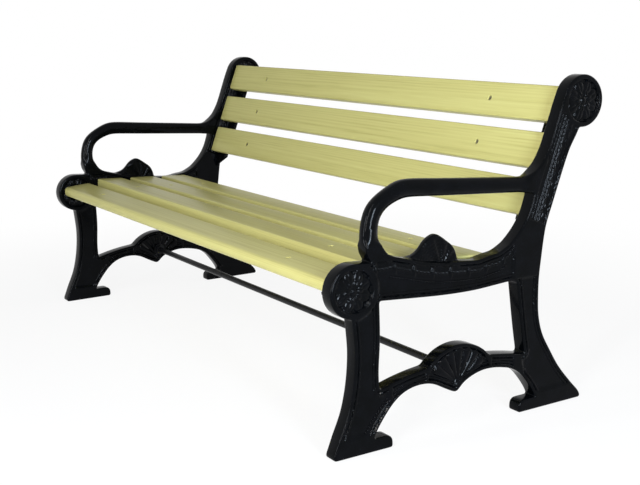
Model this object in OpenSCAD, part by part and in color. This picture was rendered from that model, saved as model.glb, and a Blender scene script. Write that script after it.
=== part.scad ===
// Park bench: two cast end frames with scrolled arms, four seat slats, three back slats,
// flat irons and bolts that hold the slats, and a tie rod between the frames.
// Millimetres. X runs along the bench, -Y is the front, +Z is up, and the floor is at z = 0.

/* [Bench] */
// Overall length, over the outer faces of the two end frames
bench_len = 1800; // [1400:10:2200]
// Height of the seat's top, at the front edge of the second slat
seat_h = 437; // [410:1:480]
// Fall of the seat towards the back, in degrees
seat_dip = 2.6; // [0:0.1:5]
// Lean of the back from upright, in degrees
back_lean = 21; // [17:0.5:24]
// Distance from the last seat slat to the lowest back slat, front to back
back_set = 115.5; // [105:0.5:130]
// Height of the lowest back slat's lower front edge above the seat height
back_rise = 69; // [60:1:80]

/* [Slats] */
// Width of every slat
slat_w = 93.5; // [84:0.5:100]
// Thickness of a seat slat
seat_slat_t = 34; // [28:1:38]
// Thickness of a back slat
back_slat_t = 30; // [26:1:32]
// Space between two seat slats
seat_gap = 31.5; // [20:0.5:36]
// Space between two back slats
back_gap = 29; // [20:0.5:34]
// Rounding of a slat's long edges
slat_ease = 5; // [2:0.5:8]
// Forward tilt of the front seat slat, in degrees
front_tilt = 5; // [2:0.5:8]
// Step down from the second slat's top to the front slat's rear top edge
front_step = 12; // [6:1:16]
// Clearance between a slat's end and the end frame
slat_end_gap = 1; // [0.5:0.1:3]

/* [End frame] */
// Thickness of an end frame, across the bench
casting_t = 40; // [34:1:48]
// Radius of the front scroll
scroll_r = 64; // [60:1:68]
// Height of the front scroll's centre below the seat height
scroll_drop = 43; // [38:1:48]
// Radius of the head disc
head_r = 66; // [60:1:70]
// Height of the foot pads' toes
toe_h = 32; // [26:1:38]
// Distance from the seat height down to the rail's lower edge at the front
rail_depth = 75; // [70:1:90]
// Distance from the front scroll's centre back to the foremost point of the arm's middle line
arm_front = 52; // [47:1:58]
// Width of the arm, across the bench
arm_w = 39; // [30:1:46]
// Depth of the arm's section at its front bend
arm_bend_h = 39; // [34:1:43]
// Depth of the arm's section on top, just behind the bend
arm_front_h = 43; // [38:1:46]
// Depth of the arm's section where it meets the back
arm_end_h = 38; // [32:1:41]
// Height of the arm's middle line above the seat height, where the bend ends
arm_rise = 177; // [168:1:184]
// Fall of the arm towards the back, in degrees
arm_slope = 4.1; // [3:0.1:5]
// Depth of the sunk panels and of the grooves on the outer face
relief_d = 4; // [2:0.5:5]
// Width of the raised border round a sunk panel
border_w = 9; // [6:0.5:12]
// How far the slat ledge stands in from the frame
ledge_w = 10; // [6:1:14]
// Thickness of the slat ledge
ledge_t = 8; // [6:1:10]
// Height of the tie rod's centre above the floor
rod_z = 149; // [140:1:160]
// Thickness of the leaf that stands on the rail
leaf_t = 26; // [16:1:30]

/* [Irons and fasteners] */
// Width of a slat iron
iron_w = 40; // [30:1:50]
// Thickness of a slat iron
iron_t = 6; // [4:0.5:8]
// Width of the lug under the front slat
lug_w = 60; // [50:1:70]
// Reach of the lug and of the two flanges from the frame's inner face
lug_reach = 62; // [56:1:70]
// Thickness of the lug and of the flanges
lug_t = 8; // [6:1:10]
// Distance from the frame's inner face to a lug screw
screw_inset = 36; // [30:0.5:42]
// Distance from the frame's inner face to a slat bolt
bolt_inset = 253; // [180:1:320]
// Shank diameter of the slat bolts and lug screws
bolt_d = 8; // [6:1:10]
// Width across the flats of nuts and hexagon heads
nut_af = 13; // [12:1:15]
// Thickness of a nut
nut_h = 6.5; // [5:0.5:8]
// Diameter of a slat bolt's round head
bolt_head_d = 13; // [12:0.5:15]
// Height of a slat bolt's round head
bolt_head_h = 7; // [5:0.5:8]
// Depth of a slat bolt's head below the face of the slat
bolt_sunk = 4; // [2:0.5:6]
// Diameter of a washer
washer_d = 17; // [16:0.5:20]
// Thickness of a washer
washer_t = 1.6; // [1:0.1:2.5]
// Length of a lug screw inside the slat
screw_bite = 20; // [12:1:22]
// Diameter of the tie rod
rod_d = 19; // [15:1:21]
// Depth of the tie rod's end in the frame
rod_sunk = 22; // [16:1:26]
// Width across the flats of a tie rod nut
rod_nut_af = 30; // [28:1:34]
// Thickness of a tie rod nut
rod_nut_h = 12; // [9:1:14]
// Diameter of a tie rod washer
rod_washer_d = 40; // [38:1:44]
// Thickness of a tie rod washer
rod_washer_t = 3; // [2:0.5:4]
// Clearance in diameter between a shank and its hole
hole_play = 0.6; // [0.4:0.1:1.2]

/* [Hidden] */

$fn = 48;

IRON_COLOR = [0.06, 0.06, 0.08];
SLAT_COLOR = [0.80, 0.79, 0.55];
STEEL_COLOR = [0.55, 0.56, 0.58];

// Points of the end frame are [y, z], with y = 0 at the front scroll's centre.
seat_dir = [cos(seat_dip), -sin(seat_dip)];
seat_up = [sin(seat_dip), cos(seat_dip)];
back_dir = [sin(back_lean), cos(back_lean)];
back_out = [cos(back_lean), -sin(back_lean)];

scroll_c = [0, seat_h - scroll_drop];
// Front top edge of the second slat, and rear top edge of the front slat
seat_start = [81, seat_h];
front_slat_edge = [seat_start[0] - 33, seat_h - front_step];
seat_pitch = slat_w + seat_gap;
seat_end = seat_start + (2 * seat_pitch + slat_w) * seat_dir;
// Lower front edge of the lowest back slat
back_start = [seat_end[0] + back_set, seat_h + back_rise];
back_pitch = slat_w + back_gap;
back_len = 2 * back_pitch + slat_w;
rear_y = back_start[0];

// How far the frame's stile stands in front of the slats, and behind their front faces
stile_front = 16;
stile_back = 50;
head_c = on_back(back_len - 21, head_r - stile_front);
// End of the arm's bend, on its middle line
arm_top = [154, seat_h + arm_rise];
rail_z = seat_h - rail_depth;
y_mid = (head_c[0] + head_r - scroll_r) / 2;

wall_x = bench_len / 2 - casting_t;
slat_len = 2 * (wall_x - slat_end_gap);
bolt_x = wall_x - bolt_inset;
screw_x = wall_x - screw_inset;
bolt_seat = bolt_sunk + bolt_head_h;
hole_d = bolt_d + hole_play;
rod_hole_d = rod_d + hole_play;
// Radius of the front slat's nose
nose_r = 0.42 * seat_slat_t;
// Hexagon socket in a slat bolt's head
socket_af = 0.75 * bolt_d;
socket_deep = 3;
screw_head_h = nut_h - 1;
// Length of a slat bolt's end past its nut, and of a hole past the end of what it takes
bolt_end = 2;
hole_end = 2;
// How deep a ledge, the lug and a flange run into the frame
root_deep = 6;
// Space between an iron and the ledge, and between the front slat's nose and its ledge
iron_gap = 2;
nose_gap = 12;
// How far the back's flange runs down past the lowest slat, and the length of its taper
flange_tail = 50;
flange_taper = 40;
// How far the back's flange stops short of the highest slat's top
flange_short = 8;

// Stretcher: its middle lies halfway between the feet of its two arches
arch_front = 62;
arch_rear = rear_y + 14;
fan_y = (arch_front + arch_rear) / 2;
fan_w = 95;
fan_shoulder = 175;
fan_top = 218;
fan_tip = 99;
fan_r = (fan_w * fan_w + pow(fan_top - fan_shoulder, 2)) / (2 * (fan_top - fan_shoulder));

// A point at distance u up the back and v behind the slats' front faces
function on_back(u, v) = back_start + u * back_dir + v * back_out;
// A point on a leg at share k of the height between the foot's toe and the rail
leg_foot_z = 50;
function on_leg(y, k) = [y, leg_foot_z + k * (rail_z - 12 - leg_foot_z)];

// Points of an arc from angle a0 to a1
function arc(c, r, a0, a1, n) = [for (i = [0:n]) let(a = a0 + (a1 - a0) * i / n) c + r * [cos(a), sin(a)]];
// A smooth curve through the points p, with n steps in each span
function blend(a, b, c, d, t) =
    0.5 * (2 * b + (c - a) * t + (2 * a - 5 * b + 4 * c - d) * t * t + (3 * b - a - 3 * c + d) * t * t * t);
function flow(p, n = 4) = concat(
    [for (i = [0:len(p) - 2]) for (j = [0:n - 1])
        blend(p[max(i - 1, 0)], p[i], p[i + 1], p[min(i + 2, len(p) - 1)], j / n)],
    [p[len(p) - 1]]);
function reversed(p) = [for (i = [len(p) - 1:-1:0]) p[i]];
// The curve p moved sideways by d, to the left of its direction
function beside(p, d) = [for (i = [0:len(p) - 1])
    let(s = p[min(i + 1, len(p) - 1)] - p[max(i - 1, 0)]) p[i] + d * [-s[1], s[0]] / norm(s)];

// Edges of the end frame's members, each from the foot upwards or from front to back
front_leg_face = flow([[-57, 0], [-59, 8], [-52, 25], on_leg(-42, 0), on_leg(-20, 1 / 6), on_leg(-7, 1 / 3),
                       on_leg(0, 1 / 2), on_leg(2, 2 / 3), on_leg(-2, 5 / 6)]);
front_leg_back = flow([[69, 156], on_leg(68, 1 / 2), on_leg(72, 3 / 4), [70, rail_z]]);
rear_leg_face = flow([[rear_y - 20, 162], on_leg(rear_y - 27, 1 / 2), on_leg(rear_y - 35, 2 / 3),
                      on_leg(rear_y - 42, 5 / 6), [rear_y - 47, rail_z - 26]]);
rear_leg_back = flow([[rear_y + 184, 3], [rear_y + 176, 20], on_leg(rear_y + 147, 0),
                      on_leg(rear_y + 103, 1 / 6), on_leg(rear_y + 70, 1 / 3), on_leg(rear_y + 41, 1 / 2),
                      on_leg(rear_y + 27, 2 / 3), on_leg(rear_y + 24, 5 / 6), on_leg(rear_y + 25, 1),
                      [rear_y + 31, seat_h - 37], [rear_y + 38, seat_h + 13], on_back(0, stile_back),
                      on_back(60, stile_back), on_back(130, stile_back), on_back(190, stile_back + 2),
                      on_back(232, stile_back + 10)]);
rail_under = flow([[70, rail_z], [158, rail_z - 7], [258, rail_z - 14], [rear_y - 190, rail_z - 16],
                   [rear_y - 110, rail_z - 12], [rear_y - 66, rail_z - 10], [rear_y - 50, rail_z - 16],
                   [rear_y - 47, rail_z - 26]]);
rail_top = flow([[67, seat_h + 58], [73, seat_h + 47], [86, seat_h + 35], [108, seat_h + 25],
                 [145, seat_h + 15], [200, seat_h], [250, seat_h - 9],
                 [rear_y - 217, seat_h - 14], [rear_y - 175, seat_h - 17],
                 [rear_y - 141, seat_h - 11], [rear_y - 111, seat_h - 7], [rear_y - 88, seat_h + 3],
                 [rear_y - 71, seat_h + 13], [rear_y - 46, seat_h + 36], on_back(-19, -22), on_back(8, -18),
                 on_back(34, -18), on_back(59, -20)]);
stile_face = flow([on_back(78, -72), on_back(95, -47), on_back(127, -27), on_back(165, -18),
                   on_back(202, -stile_front), on_back(back_len - 60, -stile_front - 1),
                   on_back(back_len - 25, -stile_front)]);
band_front = flow([[72, 149], [100, 156], [130, 163], [170, 170], [fan_y - fan_w, fan_shoulder]]);
band_rear = flow([[fan_y + fan_w, fan_shoulder], [rear_y - 95, 169], [rear_y - 55, 162],
                  [rear_y - 22, 155]]);
fan_arc = arc([fan_y, fan_top - fan_r], fan_r, 90 + asin(fan_w / fan_r), 90 - asin(fan_w / fan_r), 16);
// Lower edge of the stretcher, from the rear foot forwards to the front one
arches_under = flow([[arch_rear + 8, toe_h], [arch_rear - 1, 50], [arch_rear - 21, 78],
                     [arch_rear - 46, 106], [arch_rear - 74, 123], [fan_y + 146, 131], [fan_y + 113, 137],
                     [fan_y + 80, 138], [fan_y + 48, 132], [fan_y + 19, 120], [fan_y + 5, fan_tip + 10],
                     [fan_y - 7, fan_tip], [fan_y - 20, fan_tip + 3],
                     [fan_y - 46, 115], [fan_y - 75, 130], [fan_y - 104, 137],
                     [arch_front + 107, 136], [arch_front + 74, 126], [arch_front + 46, 106],
                     [arch_front + 21, 78], [arch_front + 1, 50], [arch_front - 8, toe_h]]);
// Radius of a toe's upper corner
toe_r = 16;

frame_outline = concat(
    front_leg_face,
    arc(scroll_c, scroll_r, 265, 90, 30),
    [[48, scroll_c[1] + scroll_r - 3], [60, seat_h + 34]],
    rail_top,
    [on_back(68, -45), on_back(70, -65)],
    stile_face,
    arc(head_c, head_r, 180 - back_lean, -100, 40),
    reversed(rear_leg_back),
    [[rear_y + 182, 0], [rear_y - 35, 0]],
    arc([rear_y - 35 + toe_r, toe_h - toe_r], toe_r, 180, 90, 5),
    arches_under,
    arc([108 - toe_r, toe_h - toe_r], toe_r, 90, 0, 4),
    [[108, 0]]);

leg_opening = concat(
    reversed(front_leg_back),
    band_front,
    [for (i = [1:len(fan_arc) - 2]) fan_arc[i]],
    band_rear,
    rear_leg_face,
    [for (i = [len(rail_under) - 2:-1:1]) rail_under[i]]);

leaf_outline = flow([[144, seat_h + 3], [160, seat_h + 14], [176, seat_h + 18], [190, seat_h + 25],
                     [200, seat_h + 35], [209, seat_h + 45], [218, seat_h + 52], [228, seat_h + 57],
                     [238, seat_h + 60], [247, seat_h + 58], [257, seat_h + 52], [266, seat_h + 46],
                     [275, seat_h + 39], [285, seat_h + 32], [294, seat_h + 23], [301, seat_h + 10],
                     [306, seat_h - 7], [308, seat_h - 24]]);

// Draws 2D [y, z] shapes as a plate from x0 to x0 + t in the bench's own place
module upright(x0, t) {
    translate([x0, -y_mid, 0]) rotate([90, 0, 90]) linear_extrude(t) children();
}

// Seats of the slats: [y, z] of the hidden face's middle, and its turn about X
function seat_place(i) =
    i == 0
    ? let(a = front_tilt, p = front_slat_edge - slat_w / 2 * [cos(a), sin(a)]
                              - seat_slat_t * [-sin(a), cos(a)])
      [p[0], p[1], a]
    : let(p = seat_start + ((i - 1) * seat_pitch + slat_w / 2) * seat_dir - seat_slat_t * seat_up)
      [p[0], p[1], -seat_dip];
function back_place(i) =
    let(p = on_back(i * back_pitch + slat_w / 2, back_slat_t)) [p[0], p[1], 90 - back_lean];
seat_places = [for (i = [0:3]) seat_place(i)];
back_places = [for (i = [0:2]) back_place(i)];

// Moves children to a slat's seat: X along the slat, Y across it and Z out of its hidden face
module at_slat(place) {
    translate([0, place[0] - y_mid, place[1]]) rotate([place[2], 0, 0]) children();
}
module both_ends() {
    children();
    mirror([1, 0, 0]) children();
}

// Slat section: thickness t, eased rear edges, and front edges of radius f
function slat_section(t, f) =
    let(w = slat_w / 2, e = slat_ease)
    concat(arc([w - e, t - e], e, 0, 90, 4), arc([f - w, t - f], f, 90, 180, 7),
           arc([f - w, f], f, 180, 270, 7), arc([w - e, e], e, -90, 0, 4));
module slat(t, f) {
    difference() {
        translate([-slat_len / 2, 0, 0]) rotate([90, 0, 90]) linear_extrude(slat_len)
            polygon(slat_section(t, f));
        both_ends() {
            translate([bolt_x, 0, -1]) cylinder(d = hole_d, h = t + 2);
            translate([bolt_x, 0, t - bolt_seat])
                cylinder(d = bolt_head_d + 2 * hole_play, h = bolt_seat + 1);
            translate([screw_x, 0, -1]) cylinder(d = hole_d, h = screw_bite + 1 + hole_end);
        }
    }
}

// Flat iron under a slat, from the ledge to the slat bolt
module slat_iron() {
    iron_end = wall_x - ledge_w - iron_gap;
    difference() {
        translate([0, 0, -iron_t]) linear_extrude(iron_t) polygon(concat(
            [[iron_end, iron_w / 2]], arc([bolt_x, 0], iron_w / 2, 90, 270, 16), [[iron_end, -iron_w / 2]]));
        for (x = [bolt_x, screw_x]) translate([x, 0, -iron_t - 1]) cylinder(d = hole_d, h = iron_t + 2);
    }
}
module hexagon(af, h) {
    cylinder(d = af / cos(30), h = h, $fn = 6);
}
module slat_bolt(t) {
    end_z = -iron_t - washer_t - nut_h - bolt_end;
    translate([bolt_x, 0, end_z]) cylinder(d = bolt_d, h = t - bolt_seat - end_z);
    translate([bolt_x, 0, t - bolt_seat]) difference() {
        cylinder(d = bolt_head_d, h = bolt_head_h);
        translate([0, 0, bolt_head_h - socket_deep]) hexagon(socket_af, socket_deep + 1);
    }
}
module slat_nut() {
    translate([bolt_x, 0, -iron_t - washer_t - nut_h]) difference() {
        hexagon(nut_af, nut_h);
        translate([0, 0, -1]) cylinder(d = hole_d, h = nut_h + 2);
    }
}
module washer(x, z) {
    translate([x, 0, z - washer_t]) difference() {
        cylinder(d = washer_d, h = washer_t);
        translate([0, 0, -1]) cylinder(d = hole_d, h = washer_t + 2);
    }
}
module lug_screw() {
    head_z = -iron_t - lug_t - washer_t;
    translate([screw_x, 0, head_z]) cylinder(d = bolt_d, h = screw_bite - head_z);
    translate([screw_x, 0, head_z - screw_head_h]) hexagon(nut_af, screw_head_h);
}

// Parts of the casting that carry the slats: a lug or flange under the irons, from y0 to y1 and cut
// back towards the frame at y0 by its taper, and a narrow ledge under the slats' ends
module flange(y0, y1, taper = 0) {
    translate([wall_x, 0, -iron_t - lug_t]) linear_extrude(lug_t)
        polygon([[root_deep, y0], [0, y0], [-lug_reach, y0 + taper], [-lug_reach, y1], [root_deep, y1]]);
}
module ledge(y0, y1) {
    translate([wall_x - ledge_w, y0, -ledge_t]) cube([ledge_w + root_deep, y1 - y0, ledge_t]);
}

// The arm: a bar of rounded section, bent over at the front and tapering back to the stile.
// Its bend has points [reach, rise, depth]: shares of the way back from the bend's foremost point to
// arm_top, of arm_rise, and of arm_bend_h. Its stations are [y, z, depth].
arm_shape = [[0.22, 0.11, 1.13], [0.05, 0.25, 1.14], [0, 0.38, 1.08], [0, 0.53, 1], [0.11, 0.747, 0.98],
             [0.38, 0.877, 0.96], [0.73, 0.967, 1.05]];
arm_run = rear_y + 22 - arm_top[0];
arm_stations = flow(concat(
    [for (q = arm_shape) [arm_front + q[0] * (arm_top[0] - arm_front), seat_h + q[1] * arm_rise,
                          q[2] * arm_bend_h]],
    [for (k = [0:0.25:1]) [arm_top[0] + k * arm_run, arm_top[1] - k * arm_run * tan(arm_slope),
                           arm_front_h + k * (arm_end_h - arm_front_h)]]), 3);
arm_sides = 16;
arm_square = 0.45;
// Corner i of a rounded section of width w and depth h; a smaller arm_square gives squarer corners
function section(w, h, i) = let(a = 360 * (i + 0.5) / arm_sides, c = cos(a), s = sin(a))
    [w / 2 * sign(c) * pow(abs(c), arm_square), h / 2 * sign(s) * pow(abs(s), arm_square)];
module arm() {
    n = len(arm_stations);
    points = [for (j = [0:n - 1])
        let(p = arm_stations[j], e = arm_stations[min(j + 1, n - 1)] - arm_stations[max(j - 1, 0)],
            d = [e[0], e[1]] / norm([e[0], e[1]]))
        for (i = [0:arm_sides - 1]) let(q = section(arm_w, p[2], i))
            [q[0], p[0] - q[1] * d[1], p[1] + q[1] * d[0]]];
    sides = [for (j = [0:n - 2]) for (i = [0:arm_sides - 1])
        let(a = j * arm_sides + i, b = j * arm_sides + (i + 1) % arm_sides,
            c = a + arm_sides, d = b + arm_sides)
        each [[a, b, c], [b, d, c]]];
    ends = [[for (i = [arm_sides - 1:-1:0]) i], [for (i = [0:arm_sides - 1]) (n - 1) * arm_sides + i]];
    translate([bench_len / 2 - casting_t / 2, -y_mid, 0]) polyhedron(points, concat(ends, sides));
}

// A low dome of radius r and height h on the outer face
module dome(y, z, r, h) {
    ball = (r * r + h * h) / (2 * h);
    translate([bench_len / 2 - relief_d, y - y_mid, z]) rotate([0, 90, 0]) intersection() {
        translate([0, 0, h - ball]) sphere(ball);
        translate([0, 0, -1]) cylinder(r = ball, h = h + 2);
    }
}
// Rosette in a panel of radius r: a boss, with petals round it on a ring of half the radius
module rosette(c, r) {
    petals = 8;
    turn = 15;
    petal_r = 0.18 * r;
    boss_r = 0.2 * r;
    boss_h = relief_d - 0.3;
    for (i = [0:petals - 1]) let(a = 360 * i / petals + turn)
        dome(c[0] + r / 2 * cos(a), c[1] + r / 2 * sin(a), petal_r, boss_h - 0.2);
    dome(c[0], c[1], boss_r, boss_h);
}

// Sunk panels of the outer face, as 2D shapes: the two discs, then the front leg, the rear leg, the
// stile and the rail. A leg's panel lies a border's width inside some of the steps of its edge curves.
module panels() {
    translate(scroll_c) circle(r = scroll_r - border_w);
    translate(head_c) circle(r = head_r - border_w);
    polygon(concat(
        beside([for (i = [16:30]) front_leg_face[i]], -border_w),
        reversed(beside([for (i = [1:10]) front_leg_back[i]], border_w))));
    polygon(concat(
        [for (i = [2:12]) beside(rear_leg_face, -border_w)[i]],
        reversed([for (i = [20:30]) beside(rear_leg_back, border_w)[i]])));
    polygon([on_back(-12, border_w - stile_front + 5), on_back(215, border_w - stile_front + 2),
             on_back(240, border_w), on_back(222, stile_back - border_w),
              on_back(0, stile_back - border_w)]);
    polygon([[84, rail_z + 6], [250, rail_z - 4], [rear_y - 90, rail_z + 2], [rear_y - 110, seat_h - 25],
             [rear_y - 190, seat_h - 28], [250, seat_h - 22], [150, seat_h - 4], [84, seat_h - 2]]);
}

module end_frame() {
    outer_x = bench_len / 2;
    color(IRON_COLOR) difference() {
        union() {
            difference() {
                upright(wall_x, casting_t) polygon(frame_outline);
                upright(wall_x - 1, casting_t + 2) polygon(leg_opening);
                upright(outer_x - relief_d, relief_d + 1) panels();
                fan_grooves();
            }
            arm();
            upright(outer_x - (casting_t + leaf_t) / 2, leaf_t) polygon(leaf_outline);
            at_slat(seat_places[0]) flange(-lug_w / 2, lug_w / 2);
            at_slat(seat_places[0]) ledge(nose_gap - slat_w / 2, slat_w / 2);
            at_slat(seat_places[1]) flange(-slat_w / 2, 2 * seat_pitch + slat_w / 2);
            at_slat(seat_places[1]) ledge(-slat_w / 2, 2 * seat_pitch + slat_w / 2);
            at_slat(back_places[0])
                flange(-slat_w / 2 - flange_tail, 2 * back_pitch + slat_w / 2 - flange_short, flange_taper);
            at_slat(back_places[0]) ledge(-slat_w / 2, 2 * back_pitch + slat_w / 2);
            rosette(scroll_c, scroll_r);
            rosette(head_c, head_r);
        }
        for (p = concat(seat_places, back_places)) at_slat(p)
            translate([screw_x, 0, -iron_t - lug_t - 1]) cylinder(d = hole_d, h = lug_t + 2);
        translate([wall_x - 1, fan_y - y_mid, rod_z]) rotate([0, 90, 0])
            cylinder(d = rod_hole_d, h = rod_sunk + 1 + hole_end);
    }
}

// Grooves between the fan's ribs, spread from its tip to its rim
module fan_grooves() {
    ribs = 7;
    spread = 116;
    hub_z = fan_tip + 22;
    hub_r = 18;
    groove_len = 100;
    for (i = [0:ribs]) let(a = spread * (i / ribs - 1 / 2))
        translate([bench_len / 2 + 1, fan_y - y_mid, hub_z]) rotate([a, 0, 0])
            translate([0, 0, hub_r]) cylinder(r1 = 2, r2 = relief_d + 1, h = groove_len);
}

module tie_rod() {
    reach = wall_x + rod_sunk;
    color(IRON_COLOR) translate([-reach, fan_y - y_mid, rod_z]) rotate([0, 90, 0])
        cylinder(d = rod_d, h = 2 * reach);
}
module rod_washer() {
    translate([wall_x - rod_washer_t, fan_y - y_mid, rod_z]) rotate([0, 90, 0]) difference() {
        cylinder(d = rod_washer_d, h = rod_washer_t);
        translate([0, 0, -1]) cylinder(d = rod_hole_d, h = rod_washer_t + 2);
    }
}
module rod_nut() {
    translate([wall_x - rod_washer_t - rod_nut_h, fan_y - y_mid, rod_z]) rotate([0, 90, 0]) difference() {
        hexagon(rod_nut_af, rod_nut_h);
        translate([0, 0, -1]) cylinder(d = rod_hole_d, h = rod_nut_h + 2);
    }
}

module end_frame_right() end_frame();
module end_frame_left() mirror([1, 0, 0]) end_frame();
module seat_slat(i) color(SLAT_COLOR) at_slat(seat_places[i]) slat(seat_slat_t, i == 0 ? nose_r : slat_ease);
module back_slat(i) color(SLAT_COLOR) at_slat(back_places[i]) slat(back_slat_t, slat_ease);
module irons(places) color(IRON_COLOR) for (p = places) at_slat(p) slat_iron();
module bolts(places, t) color(STEEL_COLOR) both_ends() for (p = places) at_slat(p) slat_bolt(t);
module bolt_washers(places) color(STEEL_COLOR)
    both_ends() for (p = places) at_slat(p) washer(bolt_x, -iron_t);
module bolt_nuts(places) color(STEEL_COLOR) both_ends() for (p = places) at_slat(p) slat_nut();
module lug_screws(places) color(STEEL_COLOR) both_ends() for (p = places) at_slat(p) lug_screw();
module lug_washers(places) color(STEEL_COLOR) both_ends() for (p = places) at_slat(p)
    washer(screw_x, -iron_t - lug_t);
module tie_rod_washers() color(IRON_COLOR) both_ends() rod_washer();
module tie_rod_nuts() color(IRON_COLOR) both_ends() rod_nut();

end_frame_left();
end_frame_right();
seat_slat(0);  // seat_slat_front
seat_slat(1);  // seat_slat_second
seat_slat(2);  // seat_slat_third
seat_slat(3);  // seat_slat_rear
back_slat(0);  // back_slat_bottom
back_slat(1);  // back_slat_middle
back_slat(2);  // back_slat_top
mirror([1, 0, 0]) irons(seat_places);  // seat_irons_left
irons(seat_places);  // seat_irons_right
mirror([1, 0, 0]) irons(back_places);  // back_irons_left
irons(back_places);  // back_irons_right
bolts(seat_places, seat_slat_t);  // seat_bolts
bolt_washers(seat_places);  // seat_bolt_washers
bolt_nuts(seat_places);  // seat_bolt_nuts
bolts(back_places, back_slat_t);  // back_bolts
bolt_washers(back_places);  // back_bolt_washers
bolt_nuts(back_places);  // back_bolt_nuts
lug_screws(seat_places);  // seat_lug_screws
lug_washers(seat_places);  // seat_lug_washers
lug_screws(back_places);  // back_lug_screws
lug_washers(back_places);  // back_lug_washers
tie_rod();
tie_rod_nuts();
tie_rod_washers();
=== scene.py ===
"""A park bench with ornamental cast iron end frames and stained timber slats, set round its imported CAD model.

Lengths are named in millimetres in a bench end's own plane: Y runs back from the centre of the front
scroll and Z runs up from the floor. Meshes are in metres, in the frame of the CAD model.
"""
import math

import bmesh
import bpy
import numpy as np
from mathutils import Matrix, Vector, geometry


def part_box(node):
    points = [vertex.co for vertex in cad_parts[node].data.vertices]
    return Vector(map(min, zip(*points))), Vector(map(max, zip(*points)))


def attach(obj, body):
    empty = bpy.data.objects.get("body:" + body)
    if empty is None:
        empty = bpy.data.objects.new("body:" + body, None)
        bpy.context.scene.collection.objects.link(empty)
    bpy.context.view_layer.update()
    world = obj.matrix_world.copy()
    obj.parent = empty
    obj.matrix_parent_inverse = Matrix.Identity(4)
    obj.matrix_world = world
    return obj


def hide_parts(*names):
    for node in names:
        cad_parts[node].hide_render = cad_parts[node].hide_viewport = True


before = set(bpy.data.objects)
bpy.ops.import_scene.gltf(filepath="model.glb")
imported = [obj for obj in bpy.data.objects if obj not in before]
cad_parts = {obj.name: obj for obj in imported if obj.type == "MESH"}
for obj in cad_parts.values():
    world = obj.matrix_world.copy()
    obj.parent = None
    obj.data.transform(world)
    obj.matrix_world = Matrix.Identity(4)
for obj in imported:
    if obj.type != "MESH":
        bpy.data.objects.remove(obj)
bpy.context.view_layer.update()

MM = 0.001

# Driving sizes of the seat and the back, in millimetres
SEAT_H = 437
SEAT_DIP = math.radians(2.6)
BACK_LEAN = math.radians(21)
BACK_RISE = 69
BACK_LEN = 338.5
REAR_Y = 539.646
BACK_START = np.array([REAR_Y, SEAT_H + BACK_RISE])

# Driving sizes of an end frame, in millimetres
CASTING_T = 40
SCROLL_R = 64
SCROLL_DROP = 43
SCROLL_C = np.array([0, SEAT_H - SCROLL_DROP])
HEAD_R = 66
HEAD_DOWN = 21
STILE_FRONT = 16
RAIL_DEPTH = 75
RAIL_Z = SEAT_H - RAIL_DEPTH
FAN_Y = 307.823
FAN_FOOT_Z = 104
ARM_T = 39
LEAF_T = 26
EDGE_R = 5
ARM_EDGE_R = 17
LEAF_EDGE_MORE = 4

# Relief of an end frame, in millimetres, but for the bead's lift, which is a share of the relief
BORDER = 9
DISC_BORDER = 11
ROSETTE_BORDER = 13
RELIEF = 4
BOLD_RELIEF = 7
BEAD_D = 14.5
BEAD_R = 3.2
BEAD_LIFT = 0.8
FAN_HUB = np.array([FAN_Y, FAN_FOOT_Z + 14])
LEAF_FOOT = np.array([256, SEAT_H - 22])
ROPE_ROWS = (10, 21, 32)
ROPE_HALF = 4.6
ROPE_STEP = 19
RAIL_BEAD_STEP = 11
RAIL_BEAD_HALF = (4.6, 4.2)
RAIL_BEADS_DOWN = 26
PETAL_HALF = 15
PETAL_EVERY = 5
PEARL_R = 3.6
PEARL_STEP = 8.5
PEARLS_DOWN = 48

# Limits of the sunk panels, in millimetres
SCROLL_CLEAR = 3
FOOT_TOP = 46
FRONT_LEG_BACK = 96
FRONT_LEG_TOP = 352
REAR_LEG_IN = 30
REAR_LEG_SLOPE = 0.2
REAR_LEG_BEND = 150
STILE_TOP = 268
RAIL_FRONT = 40
RAIL_REAR_IN = 62
RAIL_BORDER = 8
RAIL_UNDER = 25
BAND_FRONT = 106
BAND_REAR_IN = 56
BAND_LOW = 100
BAND_HIGH = 185
FAN_REACH = 102
FAN_LOW = 96

# Steps of the end frame's mesh in millimetres, passes that soften its outline, and points in a batch
OUTLINE_STEP = 3.5
OUTLINE_PASSES = 3
ARM_PASSES = 30
COARSE_PITCH = 5.0
FINE_PITCH = 1.9
BATCH = 2000

frame_lo, frame_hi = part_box("end_frame_right")
Y_MID = -SCROLL_R - frame_lo.y / MM
OUTER_X = frame_hi.x / MM
WALL_X = OUTER_X - CASTING_T

BACK_DIR = np.array([math.sin(BACK_LEAN), math.cos(BACK_LEAN)])
BACK_OUT = np.array([math.cos(BACK_LEAN), -math.sin(BACK_LEAN)])
HEAD_C = BACK_START + (BACK_LEN - HEAD_DOWN) * BACK_DIR + (HEAD_R - STILE_FRONT) * BACK_OUT


def smooth(t):
    """A smooth step: 0 below 0, 1 above 1, and 3t^2 - 2t^3 between."""
    t = np.clip(t, 0, 1)
    return t * t * (3 - 2 * t)


def lengths(v):
    """The length of each vector in the last axis."""
    return np.sqrt((v * v).sum(-1))


# Outline of an end frame, read from the CAD model

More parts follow.
